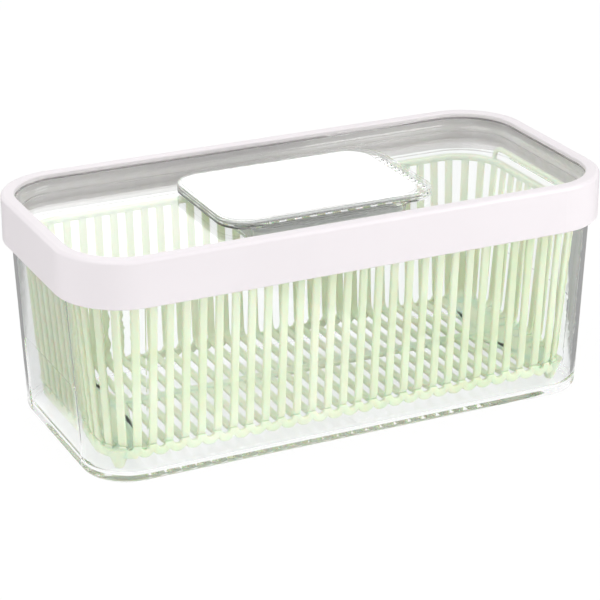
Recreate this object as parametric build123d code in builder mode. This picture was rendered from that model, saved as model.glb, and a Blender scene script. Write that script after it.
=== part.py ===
from build123d import *
from math import cos, pi, sin
import os

# Produce keeper: a clear tub with a slotted basket inside, under a white-rimmed lid with a
# vent and a filter. Millimetres, +Z up, origin at the middle of the base, +X along the length.

# Lid rim: white moulded frame, seen as the band round the top
RIM_L, RIM_W, RIM_R = 333.0, 156.9, 39.0
RIM_TOP = 133.4
RIM_SKIRT_Z = 105.8
RIM_WALL = 2.5
RIM_BORDER_T = 2.4
WINDOW_L, WINDOW_W, WINDOW_R = 318.0, 142.0, 32.7
RIM_EDGE_FILLET, RIM_INNER_FILLET, RIM_FOOT_CHAMFER = 2.2, 0.8, 0.6

# Container: tapered tub whose mouth steps out under the skirt
BASE_L, BASE_W, BASE_R = 311.4, 141.4, 27.7
NECK_L, NECK_W, NECK_R = 323.0, 147.0, 33.5
MOUTH_L, MOUTH_W, MOUTH_R = 326.8, 150.7, 35.5
TUB_WALL, MOUTH_WALL = 2.5, 2.2
TUB_FLOOR = 3.0
NECK_Z = 108.0
STEP_Z = 111.0
BASE_FILLET = 3.0
FLOOR_FILLET = 6.0
PANEL_W, PANEL_H, PANEL_DEPTH, PANEL_R = 82.0, 50.0, 0.9, 5.0

# Lid tray: clear recessed window that the next keeper's base nests in
TRAY_FLANGE_T = 2.0
TRAY_WALL_T = 2.0
TRAY_PANE_T = 2.2
TRAY_DEPTH = 9.6
TRAY_DRAFT = 1.4
TRAY_FILLET, TRAY_PLAY = 3.5, 0.1

# Vent: clear cap on a flanged filter holder that is let into the tray
CAP_L, CAP_W, CAP_R = 132.4, 86.4, 17.0
CAP_WALL, CAP_FILLET = 1.2, 0.5
CAP_GAP = 2.0
FLANGE_T = 1.0
DUCT_H = 1.0
WELL_FLOOR_T = 1.0
WELL_DEPTH = 1.6
VENT_SLOT_L, VENT_SLOT_W, VENT_PITCH = 5.0, 2.4, 5.0
VENT_SLOTS = 13
VENT_SLOT_X = 60.9
LIP_T, LIP_IN = 0.6, 1.0

# Vent slider: white plate at the left of its well, with the vent slots open at the right
SLIDER_L = 122.0
SLIDER_FOOT_T = 0.9
SLIDER_RISE, SLIDER_FILLET = 0.5, 0.5
SLIDER_PLAY = 0.3

# Filter compartment under the vent
BODY_L, BODY_W, BODY_R = 96.0, 80.0, 8.0
BODY_WALL = 1.6
BODY_DROP = 8.6
COLLAR_OUT = 1.5
BEAD_L, BEAD_OUT, BEAD_H = 40.0, 0.6, 1.0
DOOR_T = 1.6
DOOR_PLAY = 0.3
GRILLE_SLOT_L, GRILLE_SLOT_W, GRILLE_PITCH, GRILLE_ROW_GAP = 30.0, 5.0, 8.6, 34.0
GRILLE_SLOTS = 10
HINGE_PIN_R, HINGE_BORE_R, HINGE_EAR_R, HINGE_OUT = 1.0, 1.05, 2.2, 2.6
KNUCKLE_W, EAR_T, EAR_GAP, EAR_ROOT_H = 6.0, 2.0, 0.2, 6.0
HINGE_X = 30.0
TAB_W, TAB_T, TAB_H, TAB_GAP = 18.0, 1.2, 5.0, 0.1
CARTRIDGE_H = 5.6
CARTRIDGE_WALL = 2.0
CARTRIDGE_PLAY = 0.6
MESH_T = 0.5

# Basket: pale green colander with slots on every side
BASKET_TOP_L, BASKET_TOP_W, BASKET_TOP_R = 308.0, 134.0, 28.0
BASKET_BASE_L, BASKET_BASE_W, BASKET_BASE_R = 294.0, 122.0, 24.0
BASKET_Z, BASKET_TOP_Z = 14.0, 107.0
BASKET_WALL = 2.2
BASKET_FLOOR_T = 2.4
BASKET_SOLE_R = 2.5
BASKET_INNER_R = 7.0
BASKET_RIM_H, BASKET_RIM_OUT = 4.0, 1.4
SLOT_W = 4.9
SLOT_TOP_Z, SLOT_BASE_Z = 102.5, 17.6
SLOT_CUT = 14.0
QUARTER_SLOTS, FLOOR_SLOTS = 21, 25
LOBE_R, LOBE_Z, LOBE_T, LOBE_SET_BACK, LAST_LOBE = 5.6, 15.8, 2.4, 2.6, 13
SKIRT_X, SKIRT_Z, SKIRT_INSET = 130.0, 10.0, 0.3
FLOOR_SLOT_REACH, SPINE_HALF = 54.0, 3.5
FOOT_TOP_R, FOOT_TIP_R, FOOT_ROOT_Z = 7.5, 3.0, 16.0
FOOT_X, FOOT_Y = 137.5, 51.5
GRIP_W, GRIP_H, GRIP_T = 94.0, 9.6, 2.6
GRIP_SLOT_W, GRIP_SLOT_H = 78.0, 5.0

# Levels and places that follow from the sizes above
FLANGE_TOP = RIM_TOP - RIM_BORDER_T
FLANGE_Z = FLANGE_TOP - TRAY_FLANGE_T
PANE_TOP = RIM_TOP - TRAY_DEPTH
PANE_Z = PANE_TOP - TRAY_PANE_T
HOLDER_FLANGE_Z = PANE_TOP + CAP_GAP
CAP_Z = HOLDER_FLANGE_Z + FLANGE_T
WELL_CEILING = CAP_Z + DUCT_H
WELL_Z = WELL_CEILING + WELL_FLOOR_T
CAP_TOP = WELL_Z + WELL_DEPTH
BODY_Z = PANE_Z - BODY_DROP
DOOR_Z = BODY_Z - DOOR_T
HINGE_Y = BODY_W / 2 + HINGE_OUT
HINGE_Z = BODY_Z - DOOR_T / 2
SLIDER_X = -(CAP_L / 2 - CAP_WALL - SLIDER_PLAY - SLIDER_L / 2)

os.makedirs("parts", exist_ok=True)


def tub_size(z):
    """Outer length, width and corner radius of the tapered tub at height z."""
    share = z / NECK_Z
    return (
        BASE_L + (NECK_L - BASE_L) * share,
        BASE_W + (NECK_W - BASE_W) * share,
        BASE_R + (NECK_R - BASE_R) * share,
    )


def tapered(low, high, low_z, high_z, sole_fillet=0.0):
    """Solid between two rounded rectangles (length, width, radius), with a rounded lower edge."""
    with BuildPart(mode=Mode.PRIVATE) as block:
        with BuildSketch(Plane.XY.offset(low_z)):
            RectangleRounded(*low)
        with BuildSketch(Plane.XY.offset(high_z)):
            RectangleRounded(*high)
        loft(ruled=True)
        if sole_fillet:
            fillet(block.faces().sort_by(Axis.Z)[0].edges(), radius=sole_fillet)
    return block.part


def straight(size, low_z, high_z):
    """Upright solid on one rounded rectangle (length, width, radius)."""
    with BuildPart(mode=Mode.PRIVATE) as block:
        with BuildSketch(Plane.XY.offset(low_z)):
            RectangleRounded(*size)
        extrude(amount=high_z - low_z)
    return block.part


def inset(size, by):
    """The rounded rectangle that lies the given distance inside another one."""
    return size[0] - 2 * by, size[1] - 2 * by, max(size[2] - by, 1.0)


def end_panel(side):
    """Block that fills the shallow panel of one end wall, its face parallel to that wall."""
    lean = (NECK_L - BASE_L) / 2 / NECK_Z
    face = Plane(
        origin=(side * (BASE_L / 2 - PANEL_DEPTH), 0, 0),
        x_dir=(0, side, 0),
        z_dir=(side, 0, -lean),
    )
    with BuildPart(mode=Mode.PRIVATE) as block:
        with BuildSketch(face):
            RectangleRounded(PANEL_W, 2 * PANEL_H, PANEL_R)
        extrude(amount=NECK_L - BASE_L)
    return block.part


# Container: clear tub with a stepped mouth and a recessed panel in each end wall
BASE = (BASE_L, BASE_W, BASE_R)
NECK = (NECK_L, NECK_W, NECK_R)
MOUTH = (MOUTH_L, MOUTH_W, MOUTH_R)

INNER_BASE = inset(tub_size(TUB_FLOOR), TUB_WALL)
INNER_NECK = inset(NECK, TUB_WALL)
INNER_MOUTH = inset(MOUTH, MOUTH_WALL)

with BuildPart() as cavity:
    add(tapered(INNER_BASE, INNER_NECK, TUB_FLOOR, NECK_Z, FLOOR_FILLET))
    add(tapered(INNER_NECK, INNER_MOUTH, NECK_Z, STEP_Z))
    add(straight(INNER_MOUTH, STEP_Z, FLANGE_Z))

with BuildPart() as container:
    add(tapered(BASE, NECK, 0, NECK_Z, BASE_FILLET))
    add(tapered(NECK, MOUTH, NECK_Z, STEP_Z))
    add(straight(MOUTH, STEP_Z, FLANGE_Z))
    for side in (-1, 1):
        add(end_panel(side), mode=Mode.SUBTRACT)
    add(cavity.part, mode=Mode.SUBTRACT)
container.part.label = "container"
export_step(container.part, "parts/container.step")

# Lid rim: skirt with a rounded upper edge and an inward border round the window
RIM = (RIM_L, RIM_W, RIM_R)
WINDOW = (WINDOW_L, WINDOW_W, WINDOW_R)

with BuildPart() as lid_rim:
    add(straight(RIM, RIM_SKIRT_Z, RIM_TOP))
    fillet(lid_rim.faces().sort_by(Axis.Z)[-1].edges(), radius=RIM_EDGE_FILLET)
    add(straight(inset(RIM, RIM_WALL), RIM_SKIRT_Z, FLANGE_TOP), mode=Mode.SUBTRACT)
    add(straight(WINDOW, FLANGE_TOP, RIM_TOP), mode=Mode.SUBTRACT)
    fillet(lid_rim.faces().sort_by(Axis.Z)[-1].inner_wires()[0].edges(), radius=RIM_INNER_FILLET)
    chamfer(lid_rim.faces().sort_by(Axis.Z)[0].outer_wire().edges(), length=RIM_FOOT_CHAMFER)
lid_rim.part.label = "lid_rim"
export_step(lid_rim.part, "parts/lid_rim.step")

# Lid tray: flange under the rim's border, drafted wall and a pane with the vent's opening
TRAY_MOUTH = inset(WINDOW, TRAY_PLAY)
TRAY_SOLE = inset(TRAY_MOUTH, TRAY_DRAFT)
TRAY_OUTER_MOUTH = inset(TRAY_MOUTH, -TRAY_WALL_T)
TRAY_OUTER_SOLE = inset(TRAY_SOLE, -TRAY_WALL_T)

with BuildPart() as lid_tray:
    add(straight(inset(RIM, RIM_WALL), FLANGE_Z, FLANGE_TOP))
    add(tapered(TRAY_OUTER_SOLE, TRAY_OUTER_MOUTH, PANE_Z, FLANGE_Z, TRAY_FILLET))
    add(tapered(TRAY_SOLE, TRAY_MOUTH, PANE_TOP, FLANGE_TOP, TRAY_FILLET), mode=Mode.SUBTRACT)
    add(straight((BODY_L, BODY_W, BODY_R), PANE_Z, PANE_TOP), mode=Mode.SUBTRACT)
lid_tray.part.label = "lid_tray"
export_step(lid_tray.part, "parts/lid_tray.step")

# Filter holder: flange, collar on the pane and a four-sided body that passes through it.
# TUCK is how far small features run into the solid that carries them.
CAP = (CAP_L, CAP_W, CAP_R)
BODY = (BODY_L, BODY_W, BODY_R)
TUCK = 1.0


def hinge_ear(x, width):
    """Ear or knuckle across the hinge axis, joined to the wall or plate beside it."""
    with BuildPart(mode=Mode.PRIVATE) as block:
        with BuildSketch(Plane.YZ.offset(x - width / 2)):
            with Locations((HINGE_Y, HINGE_Z)):
                Circle(HINGE_EAR_R)
            with Locations((BODY_W / 2, BODY_Z)):
                Rectangle(TUCK, EAR_ROOT_H, align=(Align.MIN, Align.MIN))
            make_hull()
        extrude(amount=width)
    return block.part


with BuildPart() as filter_holder:
    add(straight(CAP, HOLDER_FLANGE_Z, CAP_Z))
    add(straight(inset(BODY, -COLLAR_OUT), PANE_TOP, HOLDER_FLANGE_Z))
    add(straight(BODY, BODY_Z, CAP_Z))
    with Locations((0, 0, PANE_Z - BEAD_H / 2)):
        Box(BEAD_L, BODY_W + 2 * BEAD_OUT, BEAD_H)
    for side in (-1, 1):
        for ear_side in (-1, 1):
            ear_x = side * HINGE_X + ear_side * (KNUCKLE_W / 2 + EAR_GAP + EAR_T / 2)
            add(hinge_ear(ear_x, EAR_T))
    add(straight(inset(BODY, BODY_WALL), BODY_Z, CAP_Z), mode=Mode.SUBTRACT)
    with Locations(Plane((0, HINGE_Y, HINGE_Z), x_dir=(0, 1, 0), z_dir=(1, 0, 0))):
        Cylinder(HINGE_PIN_R, BODY_L, mode=Mode.SUBTRACT)
filter_holder.part.label = "filter_holder"
export_step(filter_holder.part, "parts/filter_holder.step")

# Vent cap: well for the slider, with a lip round it and a row of slots at its right end
with BuildPart() as vent_cap:
    add(straight(CAP, CAP_Z, CAP_TOP))
    fillet(vent_cap.faces().sort_by(Axis.Z)[-1].edges(), radius=CAP_FILLET)
    add(straight(inset(CAP, CAP_WALL), CAP_Z, WELL_CEILING), mode=Mode.SUBTRACT)
    add(straight(inset(CAP, CAP_WALL), WELL_Z, CAP_TOP - LIP_T), mode=Mode.SUBTRACT)
    add(straight(inset(CAP, CAP_WALL + LIP_IN), CAP_TOP - LIP_T, CAP_TOP), mode=Mode.SUBTRACT)
    with BuildSketch(Plane.XY.offset(WELL_CEILING)):
        with Locations((VENT_SLOT_X, 0)):
            with GridLocations(0, VENT_PITCH, 1, VENT_SLOTS):
                SlotOverall(VENT_SLOT_L, VENT_SLOT_W)
    extrude(amount=WELL_FLOOR_T, mode=Mode.SUBTRACT)
vent_cap.part.label = "vent_cap"
export_step(vent_cap.part, "parts/vent_cap.step")

# Vent slider: plate whose foot runs under the cap's lip
WELL_W = CAP_W - 2 * CAP_WALL
SLIDER_FOOT = (SLIDER_L, WELL_W - 2 * SLIDER_PLAY, CAP_R - CAP_WALL)

with BuildPart() as vent_slider:
    add(straight(SLIDER_FOOT, WELL_Z, WELL_Z + SLIDER_FOOT_T).moved(Location((SLIDER_X, 0, 0))))
    face_plate = straight(inset(SLIDER_FOOT, LIP_IN), WELL_Z + SLIDER_FOOT_T, CAP_TOP + SLIDER_RISE)
    add(face_plate.moved(Location((SLIDER_X, 0, 0))))
    fillet(vent_slider.faces().sort_by(Axis.Z)[-1].edges(), radius=SLIDER_FILLET)
vent_slider.part.label = "vent_slider"
export_step(vent_slider.part, "parts/vent_slider.step")

# Filter door: grille under the cartridge, hinged at the back and pulled open by a front tab
with BuildPart() as filter_door:
    add(straight(inset(BODY, DOOR_PLAY), DOOR_Z, BODY_Z))
    with BuildSketch(Plane.XY.offset(DOOR_Z)):
        with GridLocations(GRILLE_PITCH, GRILLE_ROW_GAP, GRILLE_SLOTS, 2):
            SlotOverall(GRILLE_SLOT_L, GRILLE_SLOT_W, rotation=90)
    extrude(amount=DOOR_T, mode=Mode.SUBTRACT)
    for side in (-1, 1):
        with BuildSketch(Plane.YZ.offset(side * HINGE_X - KNUCKLE_W / 2)):
            with Locations((HINGE_Y, HINGE_Z)):
                Circle(HINGE_EAR_R)
            with Locations((HINGE_Y, HINGE_Z)):
                Rectangle(HINGE_Y - BODY_W / 2 + TUCK, DOOR_T, align=(Align.MAX, Align.CENTER))
        extrude(amount=KNUCKLE_W)
    with Locations((0, -BODY_W / 2 - TAB_GAP, DOOR_Z)):
        Box(TAB_W, TAB_T, TAB_H, align=(Align.CENTER, Align.MAX, Align.MIN))
        Box(TAB_W, TAB_GAP + DOOR_PLAY + TUCK, DOOR_T, align=(Align.CENTER, Align.MIN, Align.MIN))
    with Locations(Plane((0, HINGE_Y, HINGE_Z), x_dir=(0, 1, 0), z_dir=(1, 0, 0))):
        Cylinder(HINGE_BORE_R, BODY_L, mode=Mode.SUBTRACT)
filter_door.part.label = "filter_door"
export_step(filter_door.part, "parts/filter_door.step")

# Hinge pins: two short wires through the holder's ears and the door's knuckles
PIN_L = KNUCKLE_W + 2 * (EAR_GAP + EAR_T)

for side, name in ((-1, "hinge_pin_left"), (1, "hinge_pin_right")):
    with BuildPart() as hinge_pin:
        with BuildSketch(Plane.YZ.offset(side * HINGE_X - PIN_L / 2)):
            with Locations((HINGE_Y, HINGE_Z)):
                Circle(HINGE_PIN_R)
        extrude(amount=PIN_L)
    hinge_pin.part.label = name
    export_step(hinge_pin.part, "parts/" + name + ".step")

# Filter cartridge: frame round a bed of granules, between two sheets of mesh
CARTRIDGE = inset(BODY, BODY_WALL + CARTRIDGE_PLAY)
BED = inset(CARTRIDGE, CARTRIDGE_WALL)
BED_Z = BODY_Z + MESH_T
BED_TOP = BODY_Z + CARTRIDGE_H - MESH_T

with BuildPart() as filter_frame:
    add(straight(CARTRIDGE, BODY_Z, BODY_Z + CARTRIDGE_H))
    add(straight(BED, BODY_Z, BODY_Z + CARTRIDGE_H), mode=Mode.SUBTRACT)
filter_frame.part.label = "filter_frame"
export_step(filter_frame.part, "parts/filter_frame.step")

for name, low_z, high_z in (
    ("mesh_lower", BODY_Z, BED_Z),
    ("carbon_granules", BED_Z, BED_TOP),
    ("mesh_upper", BED_TOP, BODY_Z + CARTRIDGE_H),
):
    with BuildPart() as bed_layer:
        add(straight(BED, low_z, high_z))
    bed_layer.part.label = name
    export_step(bed_layer.part, "parts/" + name + ".step")

# Basket: slotted colander on four corner feet, with a raised grip at each end
BASKET_BASE = (BASKET_BASE_L, BASKET_BASE_W, BASKET_BASE_R)
BASKET_TOP = (BASKET_TOP_L, BASKET_TOP_W, BASKET_TOP_R)
RIM_BAND = inset(BASKET_TOP, -BASKET_RIM_OUT)
SKIRT = inset(BASKET_BASE, SKIRT_INSET)


def slot_planes():
    """Upright planes that face out of the basket's mid-height outline, evenly spaced along it.

    The first list holds the long sides' planes, with a lobe below each slot, the second the ends'."""
    half_x = (BASKET_BASE_L + BASKET_TOP_L) / 4
    half_y = (BASKET_BASE_W + BASKET_TOP_W) / 4
    corner = (BASKET_BASE_R + BASKET_TOP_R) / 2
    run_x, run_y, arc = half_x - corner, half_y - corner, corner * pi / 2
    pitch = (run_x + arc + run_y) / QUARTER_SLOTS
    lobed, plain = [], []
    for index in range(QUARTER_SLOTS + 1):
        run = index * pitch
        turn = min(max((run - run_x) / corner, 0), pi / 2)
        out_x, out_y = sin(turn), cos(turn)
        x = min(run, run_x) + corner * out_x
        y = run_y + corner * out_y - max(run - run_x - arc, 0)
        sides = {(side_x if index else 1, side_y if index < QUARTER_SLOTS else 1)
                 for side_x in (-1, 1) for side_y in (-1, 1)}
        for side_x, side_y in sorted(sides):
            out = Vector(side_x * out_x, side_y * out_y, 0)
            across = Vector(-out.Y, out.X, 0)
            plane = Plane(Vector(side_x * x, side_y * y, 0), x_dir=across, z_dir=out)
            (plain if index > LAST_LOBE else lobed).append(plane)
    return pitch, lobed, plain


SLOT_PITCH, LOBED_PLANES, PLAIN_PLANES = slot_planes()

with BuildPart() as end_skirts:
    add(straight(SKIRT, SKIRT_Z, FOOT_ROOT_Z))
    add(straight(inset(SKIRT, BASKET_WALL), SKIRT_Z, FOOT_ROOT_Z), mode=Mode.SUBTRACT)
    with Locations((0, 0, SKIRT_Z)):
        Box(2 * SKIRT_X, BASKET_BASE_W, 2 * FOOT_ROOT_Z, mode=Mode.SUBTRACT)

with BuildPart() as basket:
    add(tapered(BASKET_BASE, BASKET_TOP, BASKET_Z, BASKET_TOP_Z, BASKET_SOLE_R))
    add(end_skirts.part)
    add(straight(RIM_BAND, BASKET_TOP_Z - BASKET_RIM_H, BASKET_TOP_Z))
    for side_x in (-1, 1):
        for side_y in (-1, 1):
            with Locations((side_x * FOOT_X, side_y * FOOT_Y, (TUB_FLOOR + FOOT_ROOT_Z) / 2)):
                Cone(FOOT_TIP_R, FOOT_TOP_R, FOOT_ROOT_Z - TUB_FLOOR)
    with BuildSketch(*[plane.offset(-LOBE_T - LOBE_SET_BACK) for plane in LOBED_PLANES]):
        with Locations((0, LOBE_Z)):
            Circle(LOBE_R)
    extrude(amount=LOBE_T)
    with Locations((0, 0, BASKET_TOP_Z + GRIP_H / 2)):
        Box(BASKET_TOP_L, GRIP_W, GRIP_H)
    add(
        tapered(
            inset(BASKET_BASE, BASKET_WALL),
            inset(BASKET_TOP, BASKET_WALL),
            BASKET_Z + BASKET_FLOOR_T,
            BASKET_TOP_Z,
            BASKET_INNER_R,
        ),
        mode=Mode.SUBTRACT,
    )
    with Locations((0, 0, BASKET_TOP_Z + GRIP_H / 2)):
        Box(BASKET_TOP_L - 2 * GRIP_T, GRIP_W, GRIP_H, mode=Mode.SUBTRACT)
        Box(BASKET_TOP_L, GRIP_SLOT_W, GRIP_SLOT_H, mode=Mode.SUBTRACT)
    with BuildSketch(*LOBED_PLANES, *PLAIN_PLANES):
        with Locations((0, (SLOT_BASE_Z + SLOT_TOP_Z) / 2)):
            Rectangle(SLOT_W, SLOT_TOP_Z - SLOT_BASE_Z)
        with Locations((0, SLOT_BASE_Z)):
            Circle(SLOT_W / 2)
    extrude(amount=SLOT_CUT / 2, both=True, mode=Mode.SUBTRACT)
    with BuildSketch(Plane.XY.offset(BASKET_Z)):
        with GridLocations(SLOT_PITCH, FLOOR_SLOT_REACH + SPINE_HALF, FLOOR_SLOTS, 2):
            SlotOverall(FLOOR_SLOT_REACH - SPINE_HALF, SLOT_W, rotation=90)
    extrude(amount=BASKET_FLOOR_T, mode=Mode.SUBTRACT)
basket.part.label = "basket"
export_step(basket.part, "parts/basket.step")
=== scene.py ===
"""A produce keeper: clear tub, slotted green basket and a white-rimmed lid with a sliding vent."""

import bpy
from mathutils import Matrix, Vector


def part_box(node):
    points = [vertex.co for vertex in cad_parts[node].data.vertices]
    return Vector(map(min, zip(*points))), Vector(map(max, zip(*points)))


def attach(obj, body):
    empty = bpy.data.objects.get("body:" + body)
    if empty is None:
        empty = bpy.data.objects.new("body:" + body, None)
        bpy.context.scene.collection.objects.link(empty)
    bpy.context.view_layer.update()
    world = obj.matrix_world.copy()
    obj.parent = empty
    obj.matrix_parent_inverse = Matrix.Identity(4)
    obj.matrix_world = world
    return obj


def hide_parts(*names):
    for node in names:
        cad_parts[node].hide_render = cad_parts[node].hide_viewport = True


bl_info = {
    "name": "Produce keeper",
    "version": (1, 0, 0),
    "blender": (4, 5, 0),
    "location": "View3D > Sidebar > Keeper",
    "description": "Builds a clear produce keeper with its basket, lid, vent and filter",
    "category": "Object",
}

import math

import bpy
import numpy as np
from bpy.props import FloatProperty, FloatVectorProperty, IntProperty, PointerProperty, StringProperty
from mathutils import Vector

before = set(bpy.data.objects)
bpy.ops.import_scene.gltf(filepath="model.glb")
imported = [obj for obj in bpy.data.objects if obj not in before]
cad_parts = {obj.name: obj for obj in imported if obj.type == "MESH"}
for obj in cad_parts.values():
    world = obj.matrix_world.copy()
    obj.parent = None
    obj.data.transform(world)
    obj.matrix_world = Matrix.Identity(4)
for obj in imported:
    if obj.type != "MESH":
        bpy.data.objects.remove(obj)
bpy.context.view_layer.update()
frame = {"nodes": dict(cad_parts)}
BASKET_LOW, BASKET_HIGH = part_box("basket")

# Ribs: rounding as a share of the wall, where they stop at the spine, and how far the end ribs reach in
RIB_ROUND = 0.42
SPINE_HOLD = 0.002
END_REACH = 0.012

# Skirt: stations to a slot, rounding, and the run in slots over which the last scallop turns plain
SKIRT_STATIONS = 24
SKIRT_ROUND = 0.0007
PLAIN_FROM = 0.35
PLAIN_OVER = 0.3

# Rim band
RIM_STATIONS = 288
RIM_ROUND = 0.0011

# Floor: spine and end plates; the small differences from the wall keep faces off each other's planes
FLOOR_SLOTS = 12.5
SPINE_WIDTH = 0.007
SPINE_PAST = 0.004
SPINE_ROUND = 0.0009
SPINE_EXTRA = 0.0003
PLATE_GAP = 0.0016
PLATE_INSET = 0.0005
PLATE_LESS = 0.0004
PLATE_STATIONS = 49

# Feet: places, radii at the point, tip and crown, height of the rounded tip, depth into the sole
FOOT_X = 0.1375
FOOT_Y = 0.0515
FOOT_POINT = 0.0004
FOOT_TIP = 0.003
FOOT_CROWN = 0.0075
FOOT_ROUND = 0.0018
FOOT_SINK = 0.002
FOOT_SIDES = 24

# Grips: the bar's height, depth and rounding, and how deep its ends stand in the rim
GRIP_BAR = 0.0028
GRIP_DEPTH = 0.0026
GRIP_ROUND = 0.0009
GRIP_ROOT = 0.003

# Floor of the studio: how far below the tub, and its glow seen through the plastic
FLOOR_BELOW = 0.0002
FLOOR_GLOW = 0.92
END_GLOW = 0.3
END_FADE = 0.015
LEFT_END = {"corner": (-0.157, 0.057), "slopes": (1.0, -1 / 3)}
RIGHT_END = {"corner": (0.157, -0.057), "slopes": (-1.7, 1.0)}

# Lamps: name, place, size and watts
LAMPS = (
    ("key", (-0.7, -0.2, 1.6), 1.2, 11.0),
    ("fill", (0.75, -0.8, 0.35), 0.6, 5.0),
    ("veil", (0.55, 1.66, 0.8), 0.36, 0.4),
)


class KeeperSizes(bpy.types.PropertyGroup):
    """Sizes of the pieces that are worked out here."""

    slot_count: IntProperty(
        name="Slots", description="Slots round the basket, a multiple of four",
        default=84, min=40, max=160,
    )
    slot_width: FloatProperty(
        name="Slot width", description="Width of a basket slot", default=0.0049, subtype="DISTANCE"
    )
    wall: FloatProperty(
        name="Basket wall", description="Thickness of the basket's ribs", default=0.0024, subtype="DISTANCE"
    )
    rim_out: FloatProperty(
        name="Rim overhang", description="How far the basket's rim stands out",
        default=0.0014, subtype="DISTANCE",
    )
    rim_height: FloatProperty(
        name="Rim height", description="Height of the basket's rim band", default=0.004, subtype="DISTANCE"
    )
    grip_height: FloatProperty(
        name="Grip height", description="Height of an end grip above the rim",
        default=0.0096, subtype="DISTANCE",
    )
    grip_width: FloatProperty(
        name="Grip width", description="Width of an end grip", default=0.094, subtype="DISTANCE"
    )
    foot_height: FloatProperty(
        name="Foot height", description="From the foot's tip to the basket's sole",
        default=0.011, subtype="DISTANCE",
    )
    sole_bend: FloatProperty(
        name="Sole bend", description="Bend between a rib's wall and floor runs",
        default=0.007, subtype="DISTANCE",
    )
    slot_end: FloatProperty(
        name="Slot end", description="Centre of a slot's round end above the sole",
        default=0.0036, subtype="DISTANCE",
    )
    lobe_radius: FloatProperty(
        name="Lobe radius", description="Radius of a scallop under a slot",
        default=0.0056, subtype="DISTANCE",
    )
    lobe_centre: FloatProperty(
        name="Lobe centre", description="Scallop's centre above the sole", default=0.0018, subtype="DISTANCE"
    )
    skirt_drop: FloatProperty(
        name="Skirt drop", description="How far the end walls reach below the sole",
        default=0.004, subtype="DISTANCE",
    )
    last_lobe: IntProperty(
        name="Last lobe", description="Scallops from the middle of a long side to its last",
        default=13, max=20,
    )
    base_taper: FloatVectorProperty(
        name="Taper", description="Drawing-in of the basket's sides, top to base", size=2,
        default=(0.007, 0.006), subtype="XYZ", unit="LENGTH",
    )
    corner_base: FloatProperty(
        name="Base corner", description="Corner radius at the basket's base",
        default=0.024, subtype="DISTANCE",
    )
    corner_top: FloatProperty(
        name="Top corner", description="Corner radius at the basket's top", default=0.028, subtype="DISTANCE"
    )


class KeeperColours(bpy.types.PropertyGroup):
    """Colours, as sRGB hex values."""

    clear: StringProperty(name="Clear", description="Tint of the clear plastic", default="#FDFEFE")
    white: StringProperty(name="White", description="Rim of the lid", default="#E2DDE0")
    plate: StringProperty(name="Plate", description="Vent slider", default="#F6F6F6")
    green: StringProperty(name="Green", description="Basket", default="#E8F1D9")
    deep_green: StringProperty(
        name="Deep green", description="Thick parts of the basket", default="#D4E3BE"
    )
    frame: StringProperty(name="Frame", description="Filter frame", default="#F3F4F1")
    fleece: StringProperty(name="Fleece", description="Filter mesh", default="#F2F3F0")
    carbon: StringProperty(name="Carbon", description="Filter granules", default="#25262A")
    steel: StringProperty(name="Steel", description="Hinge wire", default="#C4C6C8")


class KeeperStage(bpy.types.PropertyGroup):
    """Camera and floor."""

    camera_at: FloatVectorProperty(
        name="Camera place", description="Where the camera stands", size=3,
        default=(-0.539219, -1.11855, 0.573502), subtype="XYZ", unit="LENGTH",
    )
    camera_towards: FloatVectorProperty(
        name="Camera direction", description="Which way it looks", size=3,
        default=(0.399527, 0.832752, -0.383278), subtype="DIRECTION",
    )
    lens: FloatProperty(name="Lens", description="Focal length in millimetres", default=138.15)
    floor_size: FloatProperty(
        name="Floor", description="Length of the floor's side", default=8.0, subtype="DISTANCE"
    )


def linear(hex_value):
    """Linear colour of an sRGB hex value: c/12.92 when dark, otherwise ((c + 0.055)/1.055) to the 2.4."""
    parts = [int(hex_value[i : i + 2], 16) / 255 for i in (1, 3, 5)]
    return tuple(c / 12.92 if c <= 0.04045 else ((c + 0.055) / 1.055) ** 2.4 for c in parts) + (1.0,)


def add_node(tree, kind, inputs=None, **settings):
    """Adds a node, sets its properties, and fills or links its inputs."""
    node = tree.nodes.new(kind)
    for name, value in settings.items():
        setattr(node, name, value)
    for name, value in (inputs or {}).items():
        if isinstance(value, bpy.types.NodeSocket):
            tree.links.new(value, node.inputs[name])
        else:
            node.inputs[name].default_value = value
    return node


def new_material(name):
    """An empty node material: its tree, its Principled shader and the object's coordinates."""
    material = bpy.data.materials.new(name)
    material.use_nodes = True
    tree = material.node_tree
    tree.nodes.clear()
    shader = add_node(tree, "ShaderNodeBsdfPrincipled")
    add_node(tree, "ShaderNodeOutputMaterial", {"Surface": shader.outputs["BSDF"]})
    where = add_node(tree, "ShaderNodeTexCoord").outputs["Object"]
    return material, tree, shader, where


def set_surface(tree, shader):
    """Makes a shader's socket the material's surface."""
    output = next(n for n in tree.nodes if n.type == "OUTPUT_MATERIAL")
    tree.links.new(shader, output.inputs["Surface"])


def millimetres(size):
    """Noise and cell scale, in turns per metre, of a pattern that repeats every size millimetres."""
    return 1000.0 / size


def moulded_relief(tree, shader, where, grain, height):
    """Faint relief of a moulded skin: noise of one grain size, as a bump of the given height."""
    noise = add_node(
        tree, "ShaderNodeTexNoise", {"Vector": where, "Scale": millimetres(grain), "Detail": 3.0}
    )
    bump = add_node(
        tree, "ShaderNodeBump", {"Height": noise.outputs["Fac"], "Distance": height, "Strength": 1.0}
    )
    tree.links.new(bump.outputs["Normal"], shader.inputs["Normal"])
    return noise


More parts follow.
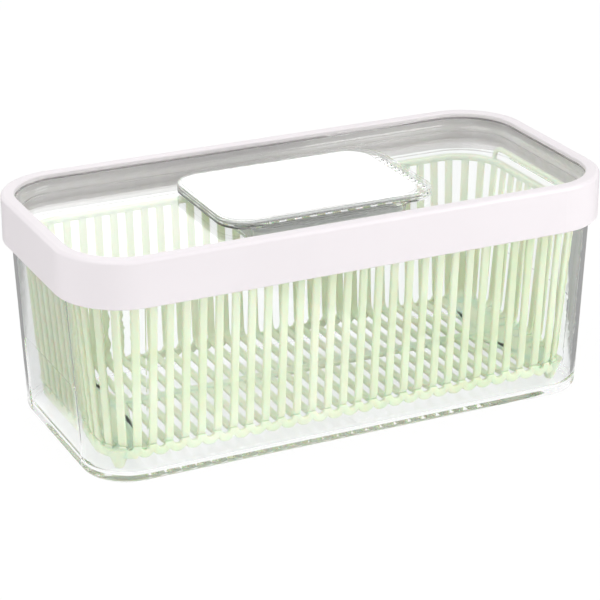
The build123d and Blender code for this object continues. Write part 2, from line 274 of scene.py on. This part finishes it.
def clear_san(name, tint, roughness):
    """SAN, injection moulded and polished: water-clear, glossy, with a faint flow ripple.

    Light that only passes through on its way to something else goes nearly unhindered, as it does
    through a wall of 2 mm, so the basket inside is lit. Light that has run along inside a wall for
    many turns is let out of it, as it would be at the wall's far edge."""
    material, tree, shader, where = new_material(name)
    shader.inputs["Base Color"].default_value = linear(tint)
    shader.inputs["Transmission Weight"].default_value = 1.0
    shader.inputs["IOR"].default_value = 1.45
    shader.inputs["Roughness"].default_value = roughness
    moulded_relief(tree, shader, where, 60.0, 0.00003)
    path = add_node(tree, "ShaderNodeLightPath")
    passing = add_node(
        tree, "ShaderNodeMath", {0: path.outputs["Is Shadow Ray"], 1: path.outputs["Is Diffuse Ray"]},
        operation="MAXIMUM",
    )
    trapped = add_node(
        tree, "ShaderNodeMath", {0: path.outputs["Ray Depth"], 1: 3.0}, operation="GREATER_THAN"
    )
    through = add_node(
        tree, "ShaderNodeMath", {0: passing.outputs["Value"], 1: trapped.outputs["Value"]},
        operation="MAXIMUM",
    )
    alpha = add_node(
        tree, "ShaderNodeMapRange", {"Value": through.outputs["Value"], "To Min": 1.0, "To Max": 0.04}
    )
    tree.links.new(alpha.outputs["Result"], shader.inputs["Alpha"])
    return material


def white_abs(name, tint, roughness):
    """ABS, injection moulded: white with a soft satin shine and a hair of spark relief.

    A fifth of the light goes through the wall, so that the lid's hollow side glows faintly."""
    material, tree, shader, where = new_material(name)
    shade = add_node(
        tree, "ShaderNodeTexNoise", {"Vector": where, "Scale": millimetres(45.0), "Detail": 2.0}
    )
    base = linear(tint)
    dim = tuple(c * 0.965 for c in base[:3]) + (1.0,)
    ramp = add_node(
        tree, "ShaderNodeMix", {"Factor": shade.outputs["Fac"], "A": base, "B": dim}, data_type="RGBA"
    )
    tree.links.new(ramp.outputs["Result"], shader.inputs["Base Color"])
    shader.inputs["Roughness"].default_value = roughness
    shader.inputs["IOR"].default_value = 1.53
    moulded_relief(tree, shader, where, 0.9, 0.00001)
    glow = add_node(tree, "ShaderNodeBsdfTranslucent", {"Color": ramp.outputs["Result"]})
    both = add_node(
        tree, "ShaderNodeMixShader", {0: 0.2, 1: shader.outputs["BSDF"], 2: glow.outputs["BSDF"]}
    )
    set_surface(tree, both.outputs["Shader"])
    return material


def translucent_pp(name, tint, deep):
    """Polypropylene, injection moulded: pale green and milky, deeper where the flow gathers."""
    material, tree, shader, where = new_material(name)
    flow = add_node(
        tree, "ShaderNodeTexNoise", {"Vector": where, "Scale": millimetres(60.0), "Detail": 3.0}
    )
    spread = add_node(
        tree, "ShaderNodeMapRange", {"Value": flow.outputs["Fac"], "From Min": 0.35, "From Max": 0.75}
    )
    colour = add_node(
        tree, "ShaderNodeMix", {"Factor": spread.outputs["Result"], "A": linear(tint), "B": linear(deep)},
        data_type="RGBA",
    )
    tree.links.new(colour.outputs["Result"], shader.inputs["Base Color"])
    shader.inputs["Roughness"].default_value = 0.38
    shader.inputs["IOR"].default_value = 1.49
    shader.inputs["Subsurface Weight"].default_value = 0.35
    shader.inputs["Subsurface Scale"].default_value = 0.003
    shader.inputs["Transmission Weight"].default_value = 0.22
    moulded_relief(tree, shader, where, 1.4, 0.00002)
    return material


def nonwoven_polyester(name, tint):
    """Spun-bonded polyester: short pressed fibres, drawn a little coarse so that they show."""
    material, tree, shader, where = new_material(name)
    stretch = add_node(tree, "ShaderNodeMapping", {"Vector": where, "Scale": (1.0, 4.0, 1.0)})
    fibres = add_node(
        tree, "ShaderNodeTexNoise",
        {"Vector": stretch.outputs["Vector"], "Scale": millimetres(2.0), "Detail": 6.0, "Distortion": 2.5},
    )
    base = linear(tint)
    dim = tuple(c * 0.8 for c in base[:3]) + (1.0,)
    colour = add_node(
        tree, "ShaderNodeMix", {"Factor": fibres.outputs["Fac"], "A": dim, "B": base}, data_type="RGBA"
    )
    tree.links.new(colour.outputs["Result"], shader.inputs["Base Color"])
    shader.inputs["Roughness"].default_value = 0.9
    bump = add_node(
        tree, "ShaderNodeBump", {"Height": fibres.outputs["Fac"], "Distance": 0.0002, "Strength": 1.0}
    )
    tree.links.new(bump.outputs["Normal"], shader.inputs["Normal"])
    return material


def activated_carbon(name, tint):
    """Activated carbon: crushed grains of about 2 mm, black, with a painted highlight in each grain's middle
    that fades to painted shade at its edges.
    """
    material, tree, shader, where = new_material(name)
    cells = add_node(tree, "ShaderNodeTexVoronoi", {"Vector": where, "Scale": millimetres(2.0)})
    base = linear(tint)
    # Painted highlight and shade: each grain's middle is drawn 2.4 times lighter, falling to the base black
    # as painted shade at the grain's edges
    light = tuple(min(c * 2.4, 1.0) for c in base[:3]) + (1.0,)
    colour = add_node(
        tree, "ShaderNodeMix", {"Factor": cells.outputs["Distance"], "A": light, "B": base},
        data_type="RGBA",
    )
    tree.links.new(colour.outputs["Result"], shader.inputs["Base Color"])
    shader.inputs["Roughness"].default_value = 0.55
    bump = add_node(
        tree, "ShaderNodeBump", {"Height": cells.outputs["Distance"], "Distance": 0.0008, "Strength": 1.0},
        invert=True,
    )
    tree.links.new(bump.outputs["Normal"], shader.inputs["Normal"])
    return material


def drawn_steel(name, tint):
    """Stainless spring wire, drawn: bright, with fine lines along its length."""
    material, tree, shader, where = new_material(name)
    shader.inputs["Base Color"].default_value = linear(tint)
    shader.inputs["Metallic"].default_value = 1.0
    lines = add_node(tree, "ShaderNodeMapping", {"Vector": where, "Scale": (0.02, 1.0, 1.0)})
    streak = add_node(
        tree, "ShaderNodeTexNoise", {"Vector": lines.outputs["Vector"], "Scale": millimetres(0.3)}
    )
    rough = add_node(
        tree, "ShaderNodeMapRange", {"Value": streak.outputs["Fac"], "To Min": 0.22, "To Max": 0.4}
    )
    tree.links.new(rough.outputs["Result"], shader.inputs["Roughness"])
    return material


def dress(node_name, material):
    """Gives a CAD node its material."""
    mesh = frame["nodes"][node_name].data
    mesh.materials.clear()
    mesh.materials.append(material)


def grid_faces(rows, columns, close_rows, close_columns, start=0):
    """Quads of a grid of rows by columns vertices, joined round where a direction is closed."""
    i = np.arange(rows if close_rows else rows - 1)[:, None]
    j = np.arange(columns if close_columns else columns - 1)[None, :]
    i2, j2 = (i + 1) % rows, (j + 1) % columns
    quads = np.stack([i * columns + j, i * columns + j2, i2 * columns + j2, i2 * columns + j], axis=-1)
    return quads.reshape(-1, 4) + start


class Shells:
    """Closed surfaces gathered as arrays and written to one mesh."""

    def __init__(self):
        self.points, self.quads, self.caps, self.count = [], [], [], 0

    def tubes(self, points):
        """Adds tubes: points is (tubes, stations, ring, 3), each ring closed, each end capped."""
        tubes, stations, ring, _ = points.shape
        one = grid_faces(stations, ring, False, True)
        offsets = (np.arange(tubes) * stations * ring)[:, None, None] + self.count
        self.quads.append((one[None] + offsets).reshape(-1, 4))
        first = np.arange(ring)[::-1]
        last = np.arange(ring) + (stations - 1) * ring
        for end in (first, last):
            self.caps += (end[None] + offsets[:, :, 0]).tolist()
        self.points.append(points.reshape(-1, 3))
        self.count += points.size // 3

    def ring(self, points):
        """Adds a closed ring: points is (stations, ring, 3), closed both ways."""
        stations, ring, _ = points.shape
        self.quads.append(grid_faces(stations, ring, True, True, self.count))
        self.points.append(points.reshape(-1, 3))
        self.count += points.size // 3

    def make(self, name):
        """Writes the gathered surfaces to one smooth-shaded object with its faces turned outwards."""
        mesh = bpy.data.meshes.new(name)
        faces = np.concatenate(self.quads).tolist() + self.caps
        mesh.from_pydata(np.concatenate(self.points).tolist(), [], faces)
        mesh.update()
        piece = bpy.data.objects.new(name, mesh)
        bpy.context.scene.collection.objects.link(piece)
        bpy.context.view_layer.objects.active = piece
        for other in bpy.context.selected_objects:
            other.select_set(False)
        piece.select_set(True)
        bpy.ops.object.mode_set(mode="EDIT")
        bpy.ops.mesh.select_all(action="SELECT")
        bpy.ops.mesh.normals_make_consistent(inside=False)
        bpy.ops.object.mode_set(mode="OBJECT")
        mesh.shade_smooth()
        mesh.set_sharp_from_angle(angle=math.radians(50))
        return piece


def rounded_section(width, depth, round_by, steps=3):
    """Closed outline of a bar: a width by depth rectangle whose corners are arcs of radius round_by.

    Returned as (n, 2) with the first column across and the second outwards."""
    turns = np.linspace(0, math.pi / 2, steps)
    corners = []
    for quarter, (sx, sy) in enumerate(((1, 1), (-1, 1), (-1, -1), (1, -1))):
        angle = turns + quarter * math.pi / 2
        centre = np.array([sx * (width / 2 - round_by), sy * (depth / 2 - round_by)])
        corners.append(centre + round_by * np.stack([np.cos(angle), np.sin(angle)], axis=-1))
    return np.concatenate(corners)


def outline(run, half_x, half_y, corner):
    """Point and outward direction on a rounded rectangle at a run from the middle of its +Y side.

    A quarter is a straight of half_x - corner, an arc of corner times pi/2, and a straight of
    half_y - corner. The other quarters mirror it, so the run is folded back into the first."""
    run_x, run_y, arc = half_x - corner, half_y - corner, corner * math.pi / 2
    quarter = run_x + arc + run_y
    lap = np.mod(run, 4 * quarter)
    which = np.floor(lap / quarter)
    inside = lap - which * quarter
    folded = np.where(np.mod(which, 2) == 1, quarter - inside, inside)
    turn = np.clip((folded - run_x) / corner, 0, math.pi / 2)
    sign_x = np.where(which < 2, 1.0, -1.0)
    sign_y = np.where((which == 0) | (which == 3), 1.0, -1.0)
    out = np.stack([np.sin(turn) * sign_x, np.cos(turn) * sign_y], axis=-1)
    x = (np.minimum(folded, run_x) + corner * np.sin(turn)) * sign_x
    y = (run_y + corner * np.cos(turn) - np.maximum(folded - run_x - arc, 0)) * sign_y
    return np.stack([x, y], axis=-1), out


def basket_facts(sizes):
    """Half sizes and levels of the basket, from its CAD solid's box and the sizes above."""
    top = BASKET_HIGH.z - sizes.grip_height
    sole = BASKET_LOW.z + sizes.foot_height
    half = np.array([BASKET_HIGH.x - sizes.rim_out, BASKET_HIGH.y - sizes.rim_out])
    taper = np.array(sizes.base_taper)
    middle = half - taper / 2
    corner = (sizes.corner_base + sizes.corner_top) / 2
    quarter = middle.sum() - 2 * corner + corner * math.pi / 2
    pitch = 4 * quarter / sizes.slot_count
    return {"top": top, "sole": sole, "half": half, "taper": taper, "middle": middle,
            "corner": corner, "quarter": quarter, "pitch": pitch}


def on_wall(facts, run, height, depth):
    """Point on the basket's wall: the mid-height outline, leaned outwards with height.

    The lean is taper times (height - middle)/(top - sole) along the outward direction; depth is
    measured inwards from the wall's outer face."""
    flat, out = outline(run, facts["middle"][0], facts["middle"][1], facts["corner"])
    centre = (facts["top"] + facts["sole"]) / 2
    share = (height - centre) / (facts["top"] - facts["sole"])
    lean = facts["taper"] * share[..., None] if np.ndim(share) else facts["taper"] * share
    flat = flat + out * lean - out * np.asarray(depth)[..., None]
    height = np.broadcast_to(height, flat.shape[:-1])
    return np.concatenate([flat, height[..., None]], axis=-1), out


def basket_ribs(shells, sizes, facts):
    """Ribs: a rounded bar down the wall, round the sole's bend and along the floor.

    Along a rib the path is a straight, a quarter circle of radius sole_bend and a straight; the
    section turns with it, so its outward side becomes the underside of the floor."""
    count, pitch = sizes.slot_count, facts["pitch"]
    run = (np.arange(count) + 0.5) * pitch
    flat, out = outline(run, facts["middle"][0], facts["middle"][1], facts["corner"])
    bend, wall = sizes.sole_bend, sizes.wall
    floor_mid = facts["sole"] + wall / 2
    heights = np.linspace(facts["top"] - sizes.rim_height / 2, floor_mid + bend, 7)
    turns = np.linspace(0, math.pi / 2, 8)[1:]
    to_spine = np.abs(flat[:, 1]) - facts["taper"][1] / 2 - SPINE_HOLD
    reach = np.where(np.abs(out[:, 1]) > 0.9, to_spine, END_REACH) - bend
    along = np.linspace(0, 1, 5)[1:]
    inwards = np.concatenate([
        np.zeros((count, heights.size)),
        np.tile(bend * (1 - np.cos(turns)), (count, 1)),
        bend + reach[:, None] * along[None],
    ], axis=1)
    level = np.concatenate([
        heights, floor_mid + bend * (1 - np.sin(turns)), np.full(along.size, floor_mid)
    ])
    tilt = np.concatenate([np.zeros(heights.size), turns, np.full(along.size, math.pi / 2)])
    centre_z = (facts["top"] + facts["sole"]) / 2
    share = (np.maximum(level, floor_mid + bend) - centre_z) / (facts["top"] - facts["sole"])
    lean = out[:, None, :] * facts["taper"] * share[None, :, None]
    path = flat[:, None, :] + lean - out[:, None, :] * (inwards + wall / 2)[..., None]
    section = rounded_section(pitch - sizes.slot_width, wall, wall * RIB_ROUND, 4)
    across = np.stack([-out[:, 1], out[:, 0]], axis=-1)
    normal_out = np.cos(tilt)[None, :, None] * out[:, None, :]
    rings_xy = (
        path[:, :, None, :]
        + section[None, None, :, 0:1] * across[:, None, None, :]
        + section[None, None, :, 1:2] * normal_out[:, :, None, :]
    )
    rings_z = level[None, :, None] - section[None, None, :, 1] * np.sin(tilt)[None, :, None]
    rings_z = np.broadcast_to(rings_z, rings_xy.shape[:3])
    shells.tubes(np.concatenate([rings_xy, rings_z[..., None]], axis=-1))


def band_section(low, high, depth, round_by, steps=3):
    """Section of an upright band with arcs of radius round_by at its corners.

    low and high are heights by station; the result is (stations, ring, 2): height and depth inwards."""
    turns = np.linspace(0, math.pi / 2, steps)
    points = []
    for quarter, (sx, sy) in enumerate(((1, 1), (-1, 1), (-1, -1), (1, -1))):
        angle = turns + quarter * math.pi / 2
        level = np.where(sx > 0, high - round_by, low + round_by)[:, None] + round_by * np.cos(angle)[None]
        inwards = (depth - round_by if sy > 0 else round_by) + round_by * np.sin(angle)[None] + 0 * level
        points.append(np.stack([level, inwards], axis=-1))
    return np.concatenate(points, axis=1)


def basket_skirt(shells, sizes, facts):
    """Lower band of the wall: each slot's round end above, scallops below, plain at the ends.

    With r the run from a slot's middle, the upper edge is slot_end - sqrt((slot_width/2)^2 - r^2) and
    the lower one lobe_centre - sqrt(lobe_radius^2 - r^2), or skirt_drop past the last scallop."""
    count, pitch = sizes.slot_count, facts["pitch"]
    run = (np.arange(count * SKIRT_STATIONS) / SKIRT_STATIONS - 0.5) * pitch
    slot = np.round(run / pitch)
    off = run - slot * pitch
    half = sizes.slot_width / 2
    notch = np.sqrt(np.maximum(half**2 - off**2, 0))
    upper = facts["sole"] + sizes.slot_end - notch
    scallop = sizes.lobe_centre - np.sqrt(np.maximum(sizes.lobe_radius**2 - off**2, 0))
    from_middle = np.abs(np.mod(run / pitch + count / 4, count / 2) - count / 4)
    share = np.clip((from_middle - sizes.last_lobe - PLAIN_FROM) / PLAIN_OVER, 0, 1)
    share = share * share * (3 - 2 * share)
    lower = facts["sole"] + scallop * (1 - share) - sizes.skirt_drop * share
    section = band_section(lower, upper, sizes.wall, SKIRT_ROUND)
    points, _ = on_wall(facts, run[:, None] + 0 * section[..., 0], section[..., 0], section[..., 1])
    shells.ring(points)


def basket_rim(shells, sizes, facts):
    """Rim band: a rounded bar of rim_height, carried round the outline at the top."""
    run = np.arange(RIM_STATIONS) / RIM_STATIONS * 4 * facts["quarter"]
    depth = sizes.wall + sizes.rim_out
    section = rounded_section(sizes.rim_height, depth, RIM_ROUND, 4)
    heights = facts["top"] - sizes.rim_height / 2 + section[None, :, 0] + 0 * run[:, None]
    inwards = depth / 2 - sizes.rim_out - section[None, :, 1] + 0 * run[:, None]
    points, _ = on_wall(facts, run[:, None] + 0 * section[None, :, 0], heights, inwards)
    shells.ring(points)


def straight_bar(shells, start, end, up, section):
    """A bar from start to end: the section's first column across it, the second along up."""
    start, end, up = np.array(start), np.array(end), np.array(up, float)
    direction = (end - start) / np.linalg.norm(end - start)
    across = np.cross(up, direction)
    stations = np.linspace(0, 1, 3)[:, None] * (end - start) + start
    ring = section[:, 0:1] * across + section[:, 1:2] * up
    shells.tubes((stations[:, None, :] + ring[None])[None])


def basket_floor(shells, sizes, facts):
    """Spine along the floor's middle, and a plate at each end between the last slot and the wall.

    The plate's edge is the sole's outline: x = half - corner + sqrt(corner^2 - (y - straight)^2)."""
    wall = sizes.wall
    middle = facts["sole"] + wall / 2
    half = facts["middle"] - facts["taper"] / 2 - wall / 2
    corner = sizes.corner_base
    last = facts["pitch"] * FLOOR_SLOTS
    reach = last + SPINE_PAST
    section = rounded_section(SPINE_WIDTH, wall + SPINE_EXTRA, SPINE_ROUND, 4)
    straight_bar(shells, (-reach, 0, middle), (reach, 0, middle), (0, 0, 1), section)
    y = np.linspace(-1, 1, PLATE_STATIONS) * (half[1] - PLATE_INSET)
    past = np.maximum(np.abs(y) - (half[1] - corner), 0)
    edge = half[0] - corner + np.sqrt(np.maximum(corner**2 - past**2, 0))
    for side in (-1, 1):
        start = np.full_like(y, last + PLATE_GAP)
        section_x = np.stack([start, edge, edge, start], axis=-1)
        section_z = np.array([0.5, 0.5, -0.5, -0.5]) * (wall - PLATE_LESS)
        points = np.stack([
            side * section_x,
            np.repeat(y[:, None], 4, axis=1),
            middle + np.tile(section_z, (y.size, 1)),
        ], axis=-1)
        shells.tubes(points[None])


def basket_feet(shells, sizes, facts):
    """Four feet: a cone turned about its axis, with a tip rounded as a quarter circle."""
    turns = np.linspace(-math.pi / 2, 0, 6)[1:]
    radius = np.concatenate([[FOOT_POINT], FOOT_TIP * (0.35 + 0.65 * np.cos(turns)), [FOOT_CROWN]])
    low = BASKET_LOW.z
    height = np.concatenate([[low], low + FOOT_ROUND * (1 + np.sin(turns)), [facts["sole"] + FOOT_SINK]])
    angle = np.linspace(0, 2 * math.pi, FOOT_SIDES, endpoint=False)
    for side_x in (-1, 1):
        for side_y in (-1, 1):
            x = side_x * FOOT_X + radius[:, None] * np.cos(angle)[None]
            y = side_y * FOOT_Y + radius[:, None] * np.sin(angle)[None]
            z = np.repeat(height[:, None], angle.size, axis=1)
            shells.tubes(np.stack([x, y, z], axis=-1)[None])


def basket_grips(shells, sizes, facts):
    """End grips: a bar that rises from the rim, runs along above it and comes down again.

    Its line is two quarter circles of the grip's height joined by a straight."""
    section = rounded_section(GRIP_BAR, GRIP_DEPTH, GRIP_ROUND, 4)
    rise = sizes.grip_height - GRIP_BAR / 2
    half = sizes.grip_width / 2 - GRIP_BAR / 2
    turns = np.linspace(0, math.pi / 2, 9)
    straight = half - rise
    y = np.concatenate([
        [-half], -straight - rise * np.cos(turns), straight + rise * np.sin(turns), [half]
    ])
    z = np.concatenate([[-GRIP_ROOT], rise * np.sin(turns), rise * np.cos(turns), [-GRIP_ROOT]])
    tangent = np.stack([np.gradient(y), np.gradient(z)], axis=-1)
    tangent /= np.linalg.norm(tangent, axis=1, keepdims=True)
    normal = np.stack([-tangent[:, 1], tangent[:, 0]], axis=-1)
    ring_y = y[:, None] + section[None, :, 0] * normal[:, :1]
    ring_z = facts["top"] + z[:, None] + section[None, :, 0] * normal[:, 1:]
    for side in (-1, 1):
        ring_x = side * (facts["half"][0] - GRIP_DEPTH / 2 + section[None, :, 1]) + 0 * ring_y
        shells.tubes(np.stack([ring_x, ring_y, ring_z], axis=-1)[None])


class KEEPER_OT_basket(bpy.types.Operator):
    """Slotted basket with its ribs, scalloped edge, rim, floor, feet and grips"""

    bl_idname = "keeper.basket"
    bl_label = "Basket"

    def execute(self, context):
        sizes, colours = context.scene.keeper_sizes, context.scene.keeper_colours
        facts = basket_facts(sizes)
        shells = Shells()
        for part in (basket_ribs, basket_skirt, basket_rim, basket_floor, basket_feet, basket_grips):
            part(shells, sizes, facts)
        piece = shells.make("basket_ribs")
        green = translucent_pp("green_polypropylene", colours.green, colours.deep_green)
        piece.data.materials.append(green)
        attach(piece, "basket")
        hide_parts("basket")
        return {"FINISHED"}


class KEEPER_OT_tub(bpy.types.Operator):
    """Clear tub"""

    bl_idname = "keeper.tub"
    bl_label = "Tub"

    def execute(self, context):
        dress("container", clear_san("clear_san_tub", context.scene.keeper_colours.clear, 0.0))
        return {"FINISHED"}


class KEEPER_OT_lid(bpy.types.Operator):
    """White rim and the clear window in it"""

    bl_idname = "keeper.lid"
    bl_label = "Lid"

    def execute(self, context):
        colours = context.scene.keeper_colours
        dress("lid_rim", white_abs("white_abs_rim", colours.white, 0.32))
        dress("lid_tray", clear_san("clear_san_window", colours.clear, 0.0))
        return {"FINISHED"}


class KEEPER_OT_vent(bpy.types.Operator):
    """Vent cap, its holder and the white plate that slides in it"""

    bl_idname = "keeper.vent"
    bl_label = "Vent"

    def execute(self, context):
        colours = context.scene.keeper_colours
        clear = clear_san("clear_san_vent", colours.clear, 0.02)
        dress("vent_cap", clear)
        dress("filter_holder", clear)
        dress("vent_slider", white_abs("white_abs_plate", colours.plate, 0.3))
        return {"FINISHED"}


class KEEPER_OT_filter(bpy.types.Operator):
    """Filter door with its pins, and the cartridge on it"""

    bl_idname = "keeper.filter"
    bl_label = "Filter"

    def execute(self, context):
        colours = context.scene.keeper_colours
        dress("filter_door", clear_san("clear_san_door", colours.clear, 0.03))
        steel = drawn_steel("drawn_steel_wire", colours.steel)
        fleece = nonwoven_polyester("nonwoven_polyester", colours.fleece)
        for name in ("hinge_pin_left", "hinge_pin_right"):
            dress(name, steel)
        for name in ("mesh_lower", "mesh_upper"):
            dress(name, fleece)
        dress("filter_frame", white_abs("white_abs_cartridge", colours.frame, 0.45))
        dress("carbon_granules", activated_carbon("activated_carbon", colours.carbon))
        return {"FINISHED"}


def wedge(tree, where, corner, slopes):
    """Level that is 1 on one side of a line on the floor and END_GLOW on the other, over END_FADE.

    The line runs through corner; x and y past it are weighed by the slopes and added."""
    parts = add_node(tree, "ShaderNodeSeparateXYZ", {"Vector": where})
    past = [
        add_node(tree, "ShaderNodeMath", {0: parts.outputs[axis], 1: -at}, operation="ADD").outputs["Value"]
        for axis, at in zip("XY", corner)
    ]
    first = add_node(tree, "ShaderNodeMath", {0: past[0], 1: slopes[0]}, operation="MULTIPLY")
    both = add_node(
        tree, "ShaderNodeMath", {0: past[1], 1: slopes[1], 2: first.outputs["Value"]},
        operation="MULTIPLY_ADD",
    )
    level = add_node(
        tree, "ShaderNodeMapRange",
        {"Value": both.outputs["Value"], "From Min": -END_FADE, "From Max": 0.0, "To Min": END_GLOW,
         "To Max": 1.0},
    )
    return level.outputs["Result"]


def pale_floor():
    """White sweep: plain to the lens and through the clear plastic, matt under the object's shadow.

    Beyond the object's two ends it is dimmer in what the plastic bends, which draws the edges grey."""
    material, tree, shader, where = new_material("pale_floor")
    shader.inputs["Base Color"].default_value = (0.86, 0.86, 0.86, 1.0)
    shader.inputs["Roughness"].default_value = 0.9
    shader.inputs["Specular IOR Level"].default_value = 0.0
    path = add_node(tree, "ShaderNodeLightPath")
    seen = add_node(
        tree, "ShaderNodeMath", {0: 1.0, 1: path.outputs["Is Diffuse Ray"]}, operation="SUBTRACT"
    )
    left = wedge(tree, where, **LEFT_END)
    right = wedge(tree, where, **RIGHT_END)
    ends = add_node(tree, "ShaderNodeMath", {0: left, 1: right}, operation="MULTIPLY")
    strength = add_node(
        tree, "ShaderNodeMath", {0: ends.outputs["Value"], 1: path.outputs["Is Camera Ray"]},
        operation="MAXIMUM",
    )
    shine = add_node(
        tree, "ShaderNodeEmission", {"Color": (1, 1, 1, 1), "Strength": strength.outputs["Value"]}
    )
    share = add_node(
        tree, "ShaderNodeMath", {0: seen.outputs["Value"], 1: FLOOR_GLOW}, operation="MULTIPLY"
    )
    mix = add_node(
        tree, "ShaderNodeMixShader",
        {0: share.outputs["Value"], 1: shader.outputs["BSDF"], 2: shine.outputs["Emission"]},
    )
    set_surface(tree, mix.outputs["Shader"])
    return material


def studio_world():
    """White room: full white behind the object, and two dim sides that give clear edges their grey."""
    world = bpy.data.worlds.new("studio")
    world.use_nodes = True
    tree = world.node_tree
    tree.nodes.clear()
    way = add_node(tree, "ShaderNodeTexCoord").outputs["Generated"]
    split = add_node(tree, "ShaderNodeSeparateXYZ", {"Vector": way})
    climb = add_node(
        tree, "ShaderNodeMapRange",
        {"Value": split.outputs["Z"], "From Min": 0.1, "From Max": 0.75, "To Min": 1.0, "To Max": 0.9},
    )
    aside = add_node(tree, "ShaderNodeMath", {0: split.outputs["X"]}, operation="ABSOLUTE")
    sides = add_node(
        tree, "ShaderNodeMapRange",
        {"Value": aside.outputs["Value"], "From Min": 0.7, "From Max": 0.9, "To Min": 1.0, "To Max": 0.25},
    )
    room_level = add_node(
        tree, "ShaderNodeMath", {0: climb.outputs["Result"], 1: sides.outputs["Result"]},
        operation="MULTIPLY",
    )
    path = add_node(tree, "ShaderNodeLightPath")
    bent = add_node(
        tree, "ShaderNodeMath",
        {0: path.outputs["Is Glossy Ray"], 1: path.outputs["Is Transmission Ray"]}, operation="MAXIMUM",
    )
    square = add_node(
        tree, "ShaderNodeMath", {0: aside.outputs["Value"], 1: aside.outputs["Value"]}, operation="MULTIPLY"
    )
    soft = add_node(
        tree, "ShaderNodeMapRange", {"Value": square.outputs["Value"], "To Min": 0.88, "To Max": 1.6}
    )
    lit = add_node(
        tree, "ShaderNodeMix",
        {"Factor": bent.outputs["Value"], "A": soft.outputs["Result"], "B": room_level.outputs["Value"]},
        data_type="FLOAT",
    )
    level = add_node(
        tree, "ShaderNodeMix",
        {"Factor": path.outputs["Is Camera Ray"], "A": lit.outputs["Result"], "B": 1.0}, data_type="FLOAT",
    )
    room = add_node(
        tree, "ShaderNodeBackground", {"Color": (1, 1, 1, 1), "Strength": level.outputs["Result"]}
    )
    add_node(tree, "ShaderNodeOutputWorld", {"Surface": room.outputs["Background"]})
    return world


def soft_lamp(name, place, size, power):
    """A square lamp that faces the middle of the object."""
    data = bpy.data.lights.new(name, "AREA")
    data.size, data.energy = size, power
    lamp = bpy.data.objects.new(name, data)
    bpy.context.scene.collection.objects.link(lamp)
    lamp.location = place
    lamp.rotation_euler = (Vector((0, 0, 0.06)) - Vector(place)).to_track_quat("-Z", "Y").to_euler()


class KEEPER_OT_stage(bpy.types.Operator):
    """Floor, room, lamps and camera"""

    bl_idname = "keeper.stage"
    bl_label = "Stage"

    def execute(self, context):
        stage = context.scene.keeper_stage
        half = stage.floor_size / 2
        mesh = bpy.data.meshes.new("floor")
        corners = [(-half, -half, 0), (half, -half, 0), (half, half, 0), (-half, half, 0)]
        mesh.from_pydata(corners, [], [(0, 1, 2, 3)])
        floor = bpy.data.objects.new("floor", mesh)
        context.scene.collection.objects.link(floor)
        floor.location.z = -FLOOR_BELOW
        mesh.materials.append(pale_floor())
        context.scene.world = studio_world()
        for lamp in LAMPS:
            soft_lamp(*lamp)
        data = bpy.data.cameras.new("camera")
        data.lens, data.sensor_width = stage.lens, 36.0
        data.clip_start, data.clip_end = 0.05, 50.0
        camera = bpy.data.objects.new("camera", data)
        context.scene.collection.objects.link(camera)
        camera.location = stage.camera_at
        camera.rotation_euler = Vector(stage.camera_towards).to_track_quat("-Z", "Y").to_euler()
        context.scene.camera = camera
        context.scene.view_settings.view_transform = "Standard"
        return {"FINISHED"}


class KEEPER_PT_panel(bpy.types.Panel):
    """Sizes, colours and the steps that build the keeper"""

    bl_label = "Produce keeper"
    bl_idname = "KEEPER_PT_panel"
    bl_space_type = "VIEW_3D"
    bl_region_type = "UI"
    bl_category = "Keeper"

    def draw(self, context):
        scene = context.scene
        for group in (scene.keeper_sizes, scene.keeper_colours, scene.keeper_stage):
            box = self.layout.box()
            for name in group.bl_rna.properties.keys():
                if name not in {"rna_type", "name"}:
                    box.prop(group, name)
        for operator in STEPS:
            self.layout.operator(operator.bl_idname)


GROUPS = (KeeperSizes, KeeperColours, KeeperStage)
STEPS = (KEEPER_OT_stage, KEEPER_OT_tub, KEEPER_OT_basket, KEEPER_OT_lid, KEEPER_OT_vent, KEEPER_OT_filter)


def register():
    for cls in (*GROUPS, *STEPS, KEEPER_PT_panel):
        bpy.utils.register_class(cls)
    bpy.types.Scene.keeper_sizes = PointerProperty(type=KeeperSizes)
    bpy.types.Scene.keeper_colours = PointerProperty(type=KeeperColours)
    bpy.types.Scene.keeper_stage = PointerProperty(type=KeeperStage)


def unregister():
    del bpy.types.Scene.keeper_stage
    del bpy.types.Scene.keeper_colours
    del bpy.types.Scene.keeper_sizes
    for cls in reversed((*GROUPS, *STEPS, KEEPER_PT_panel)):
        bpy.utils.unregister_class(cls)


def main():
    """Builds the keeper step by step."""
    register()
    bpy.ops.keeper.stage()
    bpy.ops.keeper.tub()
    bpy.ops.keeper.basket()
    bpy.ops.keeper.lid()
    bpy.ops.keeper.vent()
    bpy.ops.keeper.filter()


if __name__ == "__main__":
    main()
